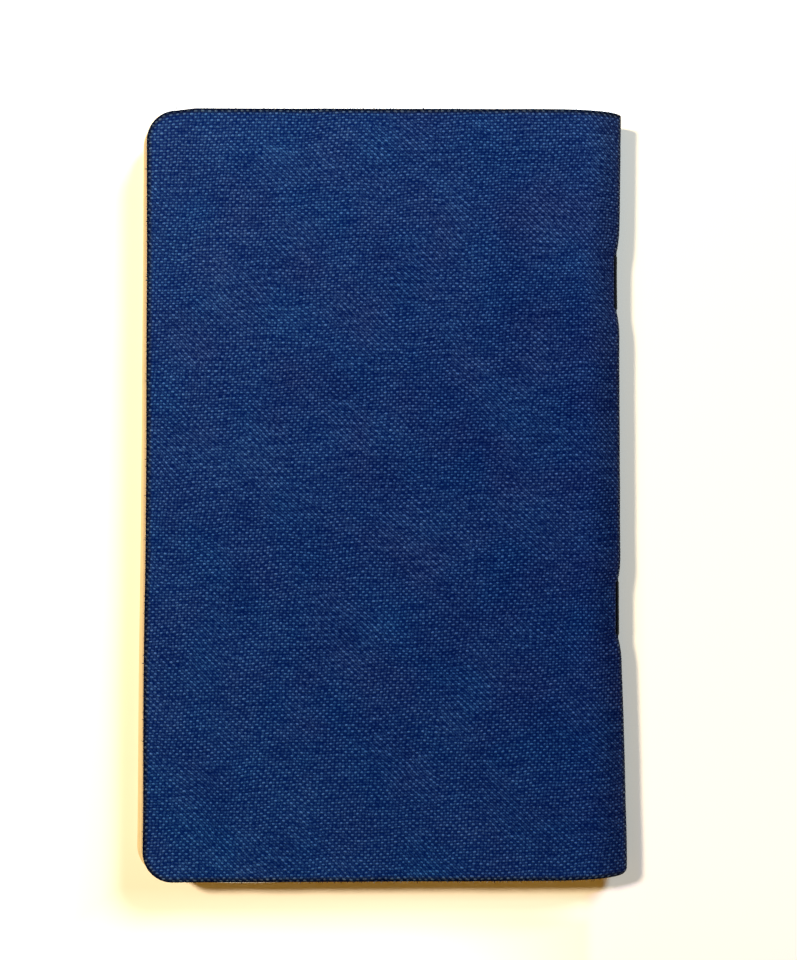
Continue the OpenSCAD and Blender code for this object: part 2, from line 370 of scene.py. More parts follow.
def thread_ends(count, seed):
    """Thread ends that stand out of the cut edges, as closed tapered tubes. Most are dark and lie at
    random; at the tail and beside the fold's head end every second warp shows its pale heart. Each
    follows start + length t along + (bow 4 t (1 - t) + curl t squared) aside, and its radius is the root
    of 1 - t squared. Gives points, faces, surface places and paleness."""
    rng = np.random.default_rng(seed)
    pitch = 1.41
    tail = np.arange(SPINE_X - 73, SPINE_X - 6, pitch)
    fold = np.arange(SPINE_X - 6.5, SPINE_X - 1.6, pitch / 2)
    notches = np.arange(SPINE_X - 61, SPINE_X - 49, pitch / 2)
    lots = count - len(tail) - len(fold) - len(notches) - 1
    side = rng.choice([0, 1, 2], lots, p=[0.3, 0.3, 0.4])
    at = rng.uniform(0, 1, lots)
    long = FORE_X + CORNER_R + at * (SPINE_X - 2.5 - FORE_X - CORNER_R)
    tall = (2 * at - 1) * (HEAD_Y - CORNER_R - 1)
    x = np.concatenate([tail, fold, notches, np.where(side == 2, fore_edge(tall), long), [SPINE_X - 90.0]])
    y = np.concatenate([np.full(len(tail), -HEAD_Y), np.full(len(fold) + len(notches), HEAD_Y),
                        np.where(side == 0, HEAD_Y, np.where(side == 1, -HEAD_Y, tall)), [-HEAD_Y + 0.06]])
    way = np.zeros((count, 2))
    way[:, 1] = np.sign(y)
    way[-1 - lots:-1][side == 2] = (-1, 0)
    way[-1] = (1, 0)
    aside = np.stack([-way[:, 1], way[:, 0]], 1)
    way[:-1] += rng.normal(0, 0.35, count - 1)[:, None] * aside[:-1]
    length = np.exp(rng.normal(-1.5, 0.45, count)).clip(0.08, 0.9)
    length[:len(tail)] = rng.uniform(0.16, 0.34, len(tail))
    curl = length * rng.normal(0, 0.45, count)
    bow = np.zeros(count)
    length[-1], curl[-1], bow[-1] = 19.0, 0.0, -0.2
    radius = rng.uniform(0.04, 0.075, count)
    radius[:len(tail)] = rng.uniform(0.07, 0.12, len(tail))
    pale = np.where(rng.uniform(0, 1, count) < 0.22, rng.uniform(0.2, 0.7, count), 0.0)
    pale[:len(tail)] = rng.uniform(0.1, 1.0, len(tail))
    pale[len(tail):len(tail) + len(fold)] = rng.uniform(0.4, 1.0, len(fold))
    pale[len(tail) + len(fold):-1 - lots] = 0.0
    pale[-1] = 1.0
    t = np.array([-0.35, -0.34, 0.0, 0.3, 0.6, 0.85, 0.97, 1.0])
    slim = np.sqrt(1 - np.clip(t, 0, 1) ** 2) * np.array([0, 1, 1, 1, 1, 1, 1, 0])
    around = np.linspace(0, 2 * math.pi, 6, endpoint=False)
    sway = bow[:, None] * 4 * t * (1 - t) * (t > 0) + curl[:, None] * t * t
    middle = (np.stack([x, y], 1)[:, None] + length[:, None, None] * t[:, None] * way[:, None]
              + sway[..., None] * aside[:, None])
    middle = np.where((np.arange(count) == count - 1)[:, None, None] & (t < 0)[:, None], middle[:, 2:3], middle)
    thick = (radius[:, None] * slim)[:, :, None]
    flat = middle[:, :, None] + (thick * np.cos(around))[..., None] * aside[:, None, None]
    droop = rng.normal(0, 0.25, count) * length.clip(0, 0.4)
    z = (on_cover(x, y, CLOTH_T / 2)[:, None, None] + thick * np.sin(around)
         + droop[:, None, None] * (t * t)[:, None])
    points = np.concatenate([flat, z[..., None]], -1).reshape(-1, 3)
    each = len(t) * len(around)
    faces = (ring_faces(len(t), len(around))[None] + each * np.arange(count)[:, None, None]).reshape(-1, 4)
    return points, faces, points[:, :2] - [SPINE_X, 0], np.repeat(pale, each)


def folded_sheets(name, count):
    """The section of folded sheets. Each sheet is a closed strip whose middle line runs from the
    fore-edge along the upper leaf, round the fold on an ellipse and back along the lower leaf; the nth
    sheet's ellipse is smaller by n times the sheet pitch both ways. One point attribute holds a tone for
    each leaf: a random walk over the leaves, so that neighbours differ a little and groups drift. The
    other holds painted shade on the leaf's edge: 1 under the cover's edge, down to 0 where it stands clear."""
    rng = np.random.default_rng(11)
    depth = HALF_T - UNDER_ENDPAPER
    pitch = depth / count
    y = heights(6.0, np.array([0.0, 1.0, 3.0]))
    y = spaced([y], 0.22)
    turn = np.radians(np.concatenate([np.linspace(90, 30, 6)[1:], np.linspace(20, 0, 4)]))
    inset = spine_inset(y)[:, None]
    points, tone, shade_under_cover, surface, faces, base = [], [], [], [], [], 0
    walk = np.cumsum(rng.normal(0, 1, 2 * count))
    walk = (walk - walk.mean()) / np.ptp(walk) + rng.normal(0, 0.25, 2 * count)
    for n in range(count):
        trim = rng.normal(0, 0.035, 2)
        # The nearer a sheet lies to the middle, the further it stands out, and more towards the tail
        creep = CREEP["tail"] + (CREEP["head"] - CREEP["tail"]) * (y + HEAD_Y) / (2 * HEAD_Y)
        fore = fore_edge(y) - 0.5 * trim_wander(y) - creep * (n + 0.6) / count
        reach = ROLL_LEN - inset - UNDER_ENDPAPER - PAGE_GAP - pitch * n
        rise = depth - pitch * (n + 0.12)
        across = np.array([0, 0.04, 0.3, 0.7, 1.0])

        def face(out):
            r, h = reach - out, rise - out
            x_flat = [(fore + t)[:, None] + across * (FLAT_X - fore - t)[:, None] for t in trim]
            x_roll = FLAT_X + r * np.cos(turn)
            z_flat = np.full_like(x_flat[0], h)
            z_roll = np.repeat(h * np.sin(turn)[None, :], len(y), 0)
            x = np.concatenate([x_flat[0], x_roll, x_roll[:, -2::-1], x_flat[1][:, ::-1]], 1)
            z = np.concatenate([z_flat, z_roll, -z_roll[:, -2::-1], -z_flat], 1)
            return np.stack([x, np.repeat(y[:, None], x.shape[1], 1), HALF_T + z], -1)

        both = np.concatenate([face(0.0), face(pitch * PAPER_SHARE)[:, ::-1]], 1)
        ring = both.shape[1]
        leaf = np.repeat(walk[2 * n:2 * n + 2], [ring // 4, ring // 2 - ring // 4])
        leaf = np.concatenate([leaf, leaf[::-1]])
        # Painted shade lies in the angle under the cover's edge, and ends half a millimetre past it
        clears = np.clip(creep * (n + 0.6) / count - 0.33 * (UNDER_ENDPAPER + pitch * n), 0, 0.5)
        shade_under_cover.append(np.repeat(1 - (clears / 0.5) ** 2, ring))
        caps = np.arange(ring // 2 - 1)
        first = np.stack([caps, caps + 1, ring - 2 - caps, ring - 1 - caps], -1)
        faces += [base + ring_faces(len(y), ring), base + first, base + (len(y) - 1) * ring + first]
        points.append(both.reshape(-1, 3))
        tone.append(np.tile(leaf, len(y)))
        surface.append(both[:, :, :2].reshape(-1, 2))
        base += both.shape[0] * ring
    return mesh_object(name, np.concatenate(points), np.concatenate(faces), np.concatenate(surface),
                       {"leaf_tone": np.concatenate(tone), "shade_under_cover": np.concatenate(shade_under_cover)}, smooth=False)


def bent_wire(name, middle, seed):
    """One stitch: a round wire carried along a path in the middle plane. The path is a slightly bowed
    crown, a quarter circle and a straight leg at each side, and an inward clinch. Each ring is a circle
    flattened where the crown was pressed home, and both ends close on a pole."""
    rng = np.random.default_rng(seed)
    r, bend = WIRE_D / 2, BEND_R + WIRE_D / 2
    crown_x = SPINE_X - CROWN_INSET - r
    clinch_x = SPINE_X - CROWN_SEAT - UNDER_ENDPAPER - PAGE_GAP - (HALF_T - UNDER_ENDPAPER) - r
    half = CROWN_LEN / 2
    quarter = np.linspace(0, math.pi / 2, 9)
    crown = np.stack([np.full(13, crown_x), np.linspace(0, half - bend, 13)], 1)
    first = np.stack([crown_x - bend + bend * np.cos(quarter), half - bend + bend * np.sin(quarter)], 1)
    second = np.stack([clinch_x + bend - bend * np.sin(quarter), half - bend + bend * np.cos(quarter)], 1)
    clinch = np.stack([np.full(6, clinch_x), np.linspace(half - bend, half - CLINCH_LEN, 6)], 1)
    side = np.concatenate([crown, first[1:], second, clinch[1:]])
    path = np.concatenate([(side * [1, -1])[:0:-1], side])
    path[:, 0] += 0.035 * rng.normal() * np.cos(np.clip(path[:, 1] / half, -1, 1) * math.pi / 2)
    along = np.gradient(path, axis=0)
    along /= np.linalg.norm(along, axis=1)[:, None]
    outward = np.stack([along[:, 1], -along[:, 0]], 1)
    around = np.linspace(0, 2 * math.pi, 20, endpoint=False)
    crown_share = np.clip(1.2 - np.abs(path[:, 1]) / half, 0, 1) * (path[:, 0] > crown_x - 0.1)
    flat = 1 - 0.14 * crown_share[:, None]
    wide = 1 + 0.06 * crown_share[:, None]
    ring = np.stack([
        path[:, :1] + r * flat * np.cos(around) * outward[:, :1],
        path[:, 1:] + r * flat * np.cos(around) * outward[:, 1:],
        np.broadcast_to(HALF_T + r * wide * np.sin(around), (len(path), len(around))),
    ], -1)
    ring[:, :, 1] += middle
    ends = np.array([[*path[0], HALF_T], [*path[-1], HALF_T]]) + [0, middle, 0]
    points = np.concatenate([ring.reshape(-1, 3), ends])
    count = len(around)
    faces = ring_faces(len(path), count).tolist()
    c = np.arange(count)
    for pole, row in ((len(points) - 2, 0), (len(points) - 1, len(path) - 1)):
        faces += np.stack([row * count + c, row * count + (c + 1) % count, np.full(count, pole)], -1).tolist()
    return mesh_object(name, points, faces)


# Materials

def add(tree, kind, settings=None, inputs=None):
    """Adds one node with its settings; an input is a value, or a node or socket to link."""
    made = tree.nodes.new(kind)
    for key, value in (settings or {}).items():
        setattr(made, key, value)
    for key, value in (inputs or {}).items():
        if isinstance(value, bpy.types.Node):
            value = value.outputs[0]
        if isinstance(value, bpy.types.NodeSocket):
            tree.links.new(value, made.inputs[key])
        else:
            made.inputs[key].default_value = value
    return made


MATH = "ShaderNodeMath"
MIX = "ShaderNodeMix"
NOISE = "ShaderNodeTexNoise"
RANGE = "ShaderNodeMapRange"
VECTOR = "ShaderNodeVectorMath"
SMOOTH = {"interpolation_type": "SMOOTHSTEP"}


def seen_white(tree):
    """1 for the rays that show a white backdrop, from the camera and in gloss or glass, and 0 for light."""
    ray = add(tree, "ShaderNodeLightPath").outputs
    seen = add(tree, MATH, {"operation": "MAXIMUM"}, {0: ray["Is Camera Ray"], 1: ray["Is Glossy Ray"]})
    return add(tree, MATH, {"operation": "MAXIMUM"}, {0: seen, 1: ray["Is Transmission Ray"]})


def new_material(name):
    """An empty node material with its output, and its node tree."""
    material = bpy.data.materials.new(name)
    material.use_nodes = True
    material.node_tree.nodes.clear()
    return material, material.node_tree


def dyed_plain_weave():
    """Book cloth: cotton in plain weave, piece-dyed dark blue and glued down, never sized or glossy.
    The eye sees light knuckles in a diamond pattern, where the warp passes over, on a dark ground, partly the
    weave's own tone and partly painted highlight on the knuckles and painted shade between them, with slubs
    along the threads and a dark cut edge."""
    sizes, colours = bpy.context.scene.pocket_book_sizes, bpy.context.scene.pocket_book_colours
    material, tree = new_material("dyed_cotton_book_cloth_plain_weave")
    uv = add(tree, "ShaderNodeUVMap", {"uv_map": "surface_mm"})
    place = add(tree, "ShaderNodeSeparateXYZ", None, {0: uv})
    # Threads wander by more than half their pitch over a centimetre or so
    wander = add(tree, NOISE, {"noise_dimensions": "2D"}, {"Vector": uv, "Scale": 0.085, "Detail": 2.0})
    wander = add(tree, "ShaderNodeSeparateColor", None, {0: wander.outputs["Color"]})
    # Thread counts: warp = (u - v tan lean) / pitch, weft = (v - u tan rise) / pitch, in threads
    leaned = add(tree, MATH, {"operation": "MULTIPLY_ADD"},
                 {0: place.outputs["Y"], 1: -math.tan(sizes.warp_lean), 2: place.outputs["X"]})
    warp = add(tree, MATH, {"operation": "MULTIPLY"}, {0: leaned, 1: MM / sizes.warp_pitch})
    warp = add(tree, MATH, {"operation": "MULTIPLY_ADD"}, {0: wander.outputs[0], 1: 2.2, 2: warp})
    raised = add(tree, MATH, {"operation": "MULTIPLY_ADD"},
                 {0: place.outputs["X"], 1: -math.tan(sizes.weft_rise), 2: place.outputs["Y"]})
    weft = add(tree, MATH, {"operation": "MULTIPLY"}, {0: raised, 1: MM / sizes.weft_pitch})
    weft = add(tree, MATH, {"operation": "MULTIPLY_ADD"}, {0: wander.outputs[1], 1: 2.2, 2: weft})
    threads = add(tree, "ShaderNodeCombineXYZ", None, {0: warp, 1: weft})
    # Crossing: a half of cos(pi (warp + weft)) + cos(pi (warp - weft)) is 1 where the warp is on top and
    # -1 where the weft is; the yarn's twist strengthens the first term, so the knuckles lie aslant
    waves = []
    for combine in ("ADD", "SUBTRACT"):
        angle = add(tree, MATH, {"operation": combine}, {0: warp, 1: weft})
        angle = add(tree, MATH, {"operation": "MULTIPLY"}, {0: angle, 1: math.pi})
        waves.append(add(tree, MATH, {"operation": "COSINE"}, {0: angle}))
    # The slant is stronger in some patches a centimetre or two wide than in others
    slant = add(tree, NOISE, {"noise_dimensions": "2D"}, {"Vector": uv, "Scale": 0.06, "Detail": 1.0})
    slant = add(tree, RANGE, None, {0: slant.outputs[0], 1: 0.35, 2: 0.65, 3: 0.46, 4: 0.72})
    crossing = add(tree, "ShaderNodeMix", None, {0: slant, 2: waves[1], 3: waves[0]})
    # The weft stands a little higher than the gaps between its rows
    rows = add(tree, MATH, {"operation": "COSINE"},
               {0: add(tree, MATH, {"operation": "MULTIPLY"}, {0: weft, 1: 2 * math.pi})})
    crossing = add(tree, MATH, {"operation": "MULTIPLY_ADD"}, {0: rows, 1: 0.2, 2: crossing})
    # Knuckle share: partly the weave's own tone, partly painted light on the raised threads and painted shade
    # in the hollows
    over = add(tree, MATH, {"operation": "MAXIMUM"}, {0: crossing, 1: 0.0})
    under = add(tree, MATH, {"operation": "MULTIPLY"},
                {0: add(tree, MATH, {"operation": "MINIMUM"}, {0: crossing, 1: 0.0}), 1: -0.34})
    knuckle_painted_light = add(tree, MATH, {"operation": "ADD"}, {0: over, 1: under})
    # Each knuckle differs from its neighbours: noise with about one thread per cell
    each = add(tree, NOISE, {"noise_dimensions": "2D"}, {"Vector": threads, "Scale": 0.9, "Detail": 1.0})
    each = add(tree, RANGE, None, {0: each.outputs[0], 1: 0.3, 2: 0.72, 3: 0.3, 4: 1.5})
    knuckle_painted_light = add(tree, MATH, {"operation": "MULTIPLY"}, {0: knuckle_painted_light, 1: each})
    # Slubs: streaks 4 to 13 mm long on one or two weft threads
    row = add(tree, MATH, {"operation": "ROUND"}, {0: weft})
    streak_place = add(tree, "ShaderNodeCombineXYZ", None, {
        0: add(tree, MATH, {"operation": "MULTIPLY"}, {0: place.outputs["X"], 1: 0.14}),
        1: add(tree, MATH, {"operation": "MULTIPLY"}, {0: row, 1: 0.83})})
    streak = add(tree, NOISE, {"noise_dimensions": "2D"}, {"Vector": streak_place, "Scale": 1.0, "Detail": 1.0})
    streak = add(tree, RANGE, None, {0: streak.outputs[0], 1: 0.25, 2: 0.75, 3: 0.55, 4: 1.45})
    # Mottle: spots of about a millimetre that took less dye
    mottle = add(tree, NOISE, {"noise_dimensions": "2D"},
                 {"Vector": uv, "Scale": 0.8, "Detail": 4.0, "Roughness": 0.8})
    mottle = add(tree, RANGE, None, {0: mottle.outputs[0], 1: 0.3, 2: 0.7, 3: 0.55, 4: 1.45})
    tone = add(tree, MATH, {"operation": "MULTIPLY"}, {0: streak, 1: mottle})
    knuckle_painted_light = add(tree, MATH, {"operation": "MULTIPLY"}, {0: knuckle_painted_light, 1: tone})
    # Ground to knuckle colour: painted highlight on the knuckles and painted shade between them, over the dye's
    # own tone
    colour = add(tree, MIX, {"data_type": "RGBA"}, {
        "Factor": knuckle_painted_light, 6: tuple(colours.cloth_ground_painted_shade), 7: tuple(colours.cloth_knuckle_painted_light)}).outputs[2]
    # Painted light: lighter and greener towards the fore-edge, and with the square of the distance from the
    # middle towards head and tail; and the dye's own soft clouds a centimetre or two wide, some more indigo and
    # some more teal
    around = add(tree, MATH, {"operation": "ABSOLUTE"}, {0: place.outputs["X"]})
    painted_light_outwards = add(tree, RANGE, None, {0: around, 1: 0.0, 2: 104.0, 3: 0.0, 4: 1.0})
    painted_light_endwards = add(tree, MATH, {"operation": "MULTIPLY"}, {0: place.outputs["Y"], 1: place.outputs["Y"]})
    painted_light_endwards = add(tree, MATH, {"operation": "MULTIPLY"}, {0: painted_light_endwards, 1: 1 / HEAD_Y ** 2})
    clouds = add(tree, NOISE, {"noise_dimensions": "2D"}, {"Vector": uv, "Scale": 0.07, "Detail": 3.0})
    reds = add(tree, "ShaderNodeSeparateColor", None, {0: clouds.outputs["Color"]})
    reds = add(tree, RANGE, None, {0: reds.outputs[1], 1: 0.3, 2: 0.7, 3: -0.5, 4: 0.5})
    clouds = add(tree, RANGE, None, {0: clouds.outputs[0], 1: 0.3, 2: 0.7, 3: -0.5, 4: 0.5})
    tint_and_painted_light = (0.285, 0.735, 1.08)
    for cause, tint in ((painted_light_outwards, (0.06, 0.27, 0.22)), (painted_light_endwards, (0.05, 0.19, 0.14)),
                        (clouds, (0.08, 0.27, 0.2)), (reds, (0.25, 0.0, -0.05))):
        tint_and_painted_light = add(tree, VECTOR, {"operation": "MULTIPLY_ADD"}, {0: cause, 1: tint, 2: tint_and_painted_light})
    colour = add(tree, VECTOR, {"operation": "MULTIPLY"}, {0: colour, 1: tint_and_painted_light})
    # Grime: full in the outer half millimetre of the cut edge and gone a millimetre further in, and rubbed
    # into the last two millimetres before the fold
    cut = add(tree, "ShaderNodeAttribute", {"attribute_name": "cut_mm"})
    ragged = add(tree, MATH, {"operation": "MULTIPLY_ADD"}, {0: crossing, 1: 0.06, 2: cut.outputs["Fac"]})
    rim = add(tree, RANGE, None, {0: ragged, 1: 0.42, 2: 1.35, 3: 0.82, 4: 0.0})
    rubbed = add(tree, RANGE, SMOOTH, {0: around, 1: 0.9, 2: 1.9, 3: 0.6, 4: 0.0})
    grime = add(tree, MATH, {"operation": "MAXIMUM"}, {0: rim, 1: rubbed})
    # Painted shade darkens the centimetre round the fold, where the cover rolls away from the lamps
    painted_fold_shade = add(tree, RANGE, SMOOTH, {0: around, 1: 2.0, 2: 10.5, 3: 0.56, 4: 1.0})
    colour = add(tree, VECTOR, {"operation": "SCALE"}, {0: colour, "Scale": painted_fold_shade})
    # The very rim is darkest,
    deep = add(tree, RANGE, SMOOTH, {0: ragged, 1: 0.25, 2: 0.75, 3: 0.1, 4: 1.0})
    deep = add(tree, MATH, {"operation": "MULTIPLY"}, {0: deep, 1: each})
    # and beaded: the cut threads end in pale tufts between black gaps
    beads = add(tree, RANGE, SMOOTH, {0: crossing, 1: -0.3, 2: 0.8, 3: 0.15, 4: 3.4})
    deep = add(tree, MATH, {"operation": "MULTIPLY"}, {0: deep, 1: beads})
    dust = add(tree, VECTOR, {"operation": "SCALE"}, {0: tuple(colours.dust)[:3], "Scale": deep})
    colour = add(tree, MIX, {"data_type": "RGBA"}, {"Factor": grime, 6: colour, 7: dust})
    loose = add(tree, "ShaderNodeAttribute", {"attribute_name": "loose"})
    colour = add(tree, MIX, {"data_type": "RGBA"},
                 {"Factor": loose.outputs["Fac"], 6: colour.outputs[2], 7: tuple(colours.fray)}).outputs[2]
    # Relief: both thread systems stand up where they cross over, by a third of the thread's thickness
    hill = add(tree, MATH, {"operation": "ABSOLUTE"}, {0: crossing})
    hill = add(tree, MATH, {"operation": "MULTIPLY_ADD"}, {0: over, 1: 0.35, 2: hill})
    hill = add(tree, MATH, {"operation": "MULTIPLY"}, {0: hill, 1: each})
    bump = add(tree, "ShaderNodeBump", None, {"Strength": 0.55, "Distance": 0.12 * MM, "Height": hill})
    # Only the raised threads shine, in the dye's own colour
    clean = add(tree, MATH, {"operation": "SUBTRACT"}, {0: 1.0, 1: grime})
    shine = add(tree, MATH, {"operation": "MULTIPLY"}, {0: knuckle_painted_light, 1: clean})
    shine = add(tree, MATH, {"operation": "MULTIPLY"}, {0: shine, 1: 0.5})
    shader = add(tree, "ShaderNodeBsdfPrincipled", None, {
        "Base Color": colour, "Roughness": 0.65, "Specular IOR Level": shine, "Normal": bump,
        "Specular Tint": (0.3, 0.48, 0.95, 1.0)})
    add(tree, "ShaderNodeOutputMaterial", None, {"Surface": shader})
    return material


def calendered_card():
    """Cover card: dense buff pulp board, calendered smooth; its cut edge shows the layers it was
    couched from as fine lines along the edge."""
    material, tree = new_material("calendered_pulp_card")
    spot = add(tree, "ShaderNodeTexCoord")
    # Fibres 0.4 mm apart, and plies of a tenth of a millimetre that run 8 mm along the card
    fibres = add(tree, NOISE, None, {"Vector": spot.outputs["Object"], "Scale": 2600.0, "Detail": 4.0})
    layers = add(tree, "ShaderNodeMapping", None,
                 {"Vector": spot.outputs["Object"], "Scale": (120.0, 120.0, 9000.0)})
    plies = add(tree, NOISE, None, {"Vector": layers, "Scale": 1.0, "Detail": 2.0})
    both = add(tree, MATH, {"operation": "ADD"}, {0: fibres.outputs[0], 1: plies.outputs[0]})
    tone = add(tree, RANGE, None, {0: both, 1: 0.6, 2: 1.4, 3: 0.72, 4: 1.12})
    colour = add(tree, VECTOR, {"operation": "SCALE"},
                 {0: tuple(bpy.context.scene.pocket_book_colours.card)[:3], "Scale": tone})
    bump = add(tree, "ShaderNodeBump", None,
               {"Strength": 0.3, "Distance": 0.03 * MM, "Height": fibres.outputs[0]})
    shader = add(tree, "ShaderNodeBsdfPrincipled", None,
                 {"Base Color": colour, "Roughness": 0.88, "Specular IOR Level": 0.3, "Normal": bump})
    add(tree, "ShaderNodeOutputMaterial", None, {"Surface": shader})
    return material


def wove_paper(name, leaf_edges):
    """Uncoated wove paper, cream with age: a cloudy formation and faint fibres. On the section each leaf
    has its own tone, and painted shade greys the trimmed edges under the covers."""
    material, tree = new_material(name)
    spot = add(tree, "ShaderNodeTexCoord")
    # Formation clouds of about 4 mm and fibres 0.3 mm apart
    cloud = add(tree, NOISE, None, {"Vector": spot.outputs["Object"], "Scale": 240.0, "Detail": 4.0})
    fibres = add(tree, NOISE, None, {"Vector": spot.outputs["Object"], "Scale": 3500.0, "Detail": 3.0})
    both = add(tree, MATH, {"operation": "ADD"}, {0: cloud.outputs[0], 1: fibres.outputs[0]})
    tone = add(tree, RANGE, None, {0: both, 1: 0.6, 2: 1.4, 3: 0.93, 4: 1.05})
    if leaf_edges:
        leaf = add(tree, "ShaderNodeAttribute", {"attribute_name": "leaf_tone"})
        steps = add(tree, MATH, {"operation": "MULTIPLY_ADD"}, {0: leaf.outputs["Fac"], 1: 0.14, 2: 0.97})
        tone = add(tree, MATH, {"operation": "MULTIPLY"}, {0: tone, 1: steps})
    colour = add(tree, VECTOR, {"operation": "SCALE"},
                 {0: tuple(bpy.context.scene.pocket_book_colours.paper)[:3], "Scale": tone})
    if leaf_edges:
        # Painted shade: the leaves' edges turn blue-grey where the cover's edge overhangs them
        shade_under_cover = add(tree, "ShaderNodeAttribute", {"attribute_name": "shade_under_cover"})
        shade_under_cover = add(tree, MATH, {"operation": "MULTIPLY"}, {0: shade_under_cover.outputs["Fac"], 1: 0.55})
        colour = add(tree, MIX, {"data_type": "RGBA"},
                     {"Factor": shade_under_cover, 6: colour, 7: linear("#84797c")}).outputs[2]
    bump = add(tree, "ShaderNodeBump", None,
               {"Strength": 0.25, "Distance": 0.02 * MM, "Height": fibres.outputs[0]})
    shader = add(tree, "ShaderNodeBsdfPrincipled", None,
                 {"Base Color": colour, "Roughness": 0.9, "Specular IOR Level": 0.25, "Normal": bump})
    add(tree, "ShaderNodeOutputMaterial", None, {"Surface": shader})
    return material


def tarnished_wire():
    """Stitching wire: drawn steel that has lost its tin, dull and black with age."""
    material, tree = new_material("drawn_steel_wire_tarnished")
    spot = add(tree, "ShaderNodeTexCoord")
    # Patches of tarnish about a millimetre wide, and drawing lines a tenth of a millimetre apart
    patches = add(tree, NOISE, None, {"Vector": spot.outputs["Object"], "Scale": 900.0, "Detail": 4.0})
    share = add(tree, RANGE, None, {0: patches.outputs[0], 1: 0.38, 2: 0.66, 3: 0.0, 4: 1.0})
    wire = tuple(bpy.context.scene.pocket_book_colours.wire)
    colour = add(tree, MIX, {"data_type": "RGBA"}, {"Factor": share, 6: linear("#060607"), 7: wire})
    drawn = add(tree, "ShaderNodeMapping", None,
                {"Vector": spot.outputs["Object"], "Scale": (9000.0, 400.0, 9000.0)})
    lines = add(tree, NOISE, None, {"Vector": drawn, "Scale": 1.0, "Detail": 2.0})
    bump = add(tree, "ShaderNodeBump", None,
               {"Strength": 0.3, "Distance": 0.01 * MM, "Height": lines.outputs[0]})
    rough = add(tree, RANGE, None, {0: share, 1: 0.0, 2: 1.0, 3: 0.7, 4: 0.5})
    shader = add(tree, "ShaderNodeBsdfPrincipled", None, {
        "Base Color": colour.outputs[2], "Specular IOR Level": 0.12, "Roughness": rough, "Normal": bump})
    add(tree, "ShaderNodeOutputMaterial", None, {"Surface": shader})
    return material


def ramps(tree, spot, *steps):
    """Product of ramps across the floor. Each step is an axis, whether it is smooth, the millimetres at
    which it starts and stops, and its values there."""
    share = None
    for axis, smooth, start, stop, before, after in steps:
        ramp = add(tree, RANGE, SMOOTH if smooth else None,
                   {0: spot.outputs[axis], 1: start * MM, 2: stop * MM, 3: before, 4: after})
        share = add(tree, MATH, {"operation": "MULTIPLY"}, {0: share, 1: ramp}) if share else ramp
    return share


def pale_floor():
    """Matt pale board, which the photograph shows blown out to white in places. There the camera, but no
    light, meets an ever whiter floor; the book's shadow stays."""
    material, tree = new_material("matt_pale_floor")
    shader = add(tree, "ShaderNodeBsdfDiffuse", None,
                 {"Color": tuple(bpy.context.scene.pocket_book_colours.floor)})
    place = add(tree, "ShaderNodeTexCoord").outputs["Object"]
    spot = add(tree, "ShaderNodeSeparateXYZ", None, {0: place})
    # Whiter away from head and tail and from the fore-edge, less towards the fold
    height = add(tree, MATH, {"operation": "ABSOLUTE"}, {0: spot.outputs["Y"]})
    ends = add(tree, RANGE, None, {0: height, 1: (HEAD_Y + 4.5) * MM, 2: (HEAD_Y + 30) * MM, 3: 0.0, 4: 0.6})
    beside = ramps(tree, spot, ("X", False, LOW[0] - 5, LOW[0] - 40, 0.0, 0.6))
    share = add(tree, MATH, {"operation": "MAXIMUM"}, {0: ends, 1: beside})
    fold_side = ramps(tree, spot, ("X", True, 0.0, SPINE_X, 1.0, 0.0))
    share = add(tree, MATH, {"operation": "MULTIPLY"}, {0: share, 1: fold_side})
    # Far out, beyond the photograph's frame, it is all white
    far = add(tree, VECTOR, {"operation": "LENGTH"}, {0: place})
    far = add(tree, RANGE, None, {0: far.outputs["Value"], 1: 0.15, 2: 0.4, 3: 0.0, 4: 1.0})
    share = add(tree, MATH, {"operation": "ADD"}, {0: share, 1: far})
    # Painted light: above the head the clipped floor glows with its missing blue, so that no coloured line
    # borders the book
    above = ramps(tree, spot, ("Y", False, HEAD_Y + 1.5, HEAD_Y + 2.5, 0.0, 1.0))
    # Painted light: past the fold's shadow it glows a little blue, more towards the tail, and below the tail
    # from nearer in
    slide = ramps(tree, spot, ("Y", True, -HEAD_Y - 3, -HEAD_Y - 7, 0.0, 12 * MM))
    past = add(tree, MATH, {"operation": "ADD"}, {0: spot.outputs["X"], 1: slide})
    past = add(tree, RANGE, SMOOTH, {0: past, 1: (SPINE_X + 3) * MM, 2: (SPINE_X + 6.5) * MM, 3: 0.0, 4: 1.0})
    down = ramps(tree, spot, ("Y", False, HEAD_Y, -HEAD_Y, 0.0, 0.14))
    past = add(tree, MATH, {"operation": "MULTIPLY"}, {0: past, 1: down})
    # Painted light: the soft edge of the tail's shadow glows green and blue, most towards the fold
    edge = ramps(tree, spot, ("Y", True, -HEAD_Y - 5.5, -HEAD_Y - 8.5, 0.0, 1.0),
                 ("Y", True, -HEAD_Y - 9.5, -HEAD_Y - 13.5, 1.0, 0.0),
                 ("X", False, -50.0, 40.0, 0.0, 0.21), ("X", True, 43.0, 47.0, 1.0, 0.0))
    for amount, tint in ((above, (0.0, 0.25, 0.6)), (past, (0.0, 0.1, 1.0)), (edge, (0.0, 1.0, 1.0))):
        share = add(tree, VECTOR, {"operation": "MULTIPLY_ADD"}, {0: amount, 1: tint, 2: share})
    white = add(tree, "ShaderNodeEmission", None, {"Color": share, "Strength": seen_white(tree)})
    both = add(tree, "ShaderNodeAddShader", None, {0: shader, 1: white})
    add(tree, "ShaderNodeOutputMaterial", None, {"Surface": both})
    return material


def finish_piece(piece, material, body, slot, *nodes):
    """Gives a piece its material and hides the solids it stands for; a piece whose body is a name rides on that
    body, and any other has its place baked into its mesh. The slot is not used.
    """
    piece.data.materials.append(material)
    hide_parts(*nodes)
    if isinstance(body, str):
        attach(piece, body)
    else:
        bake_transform(piece)


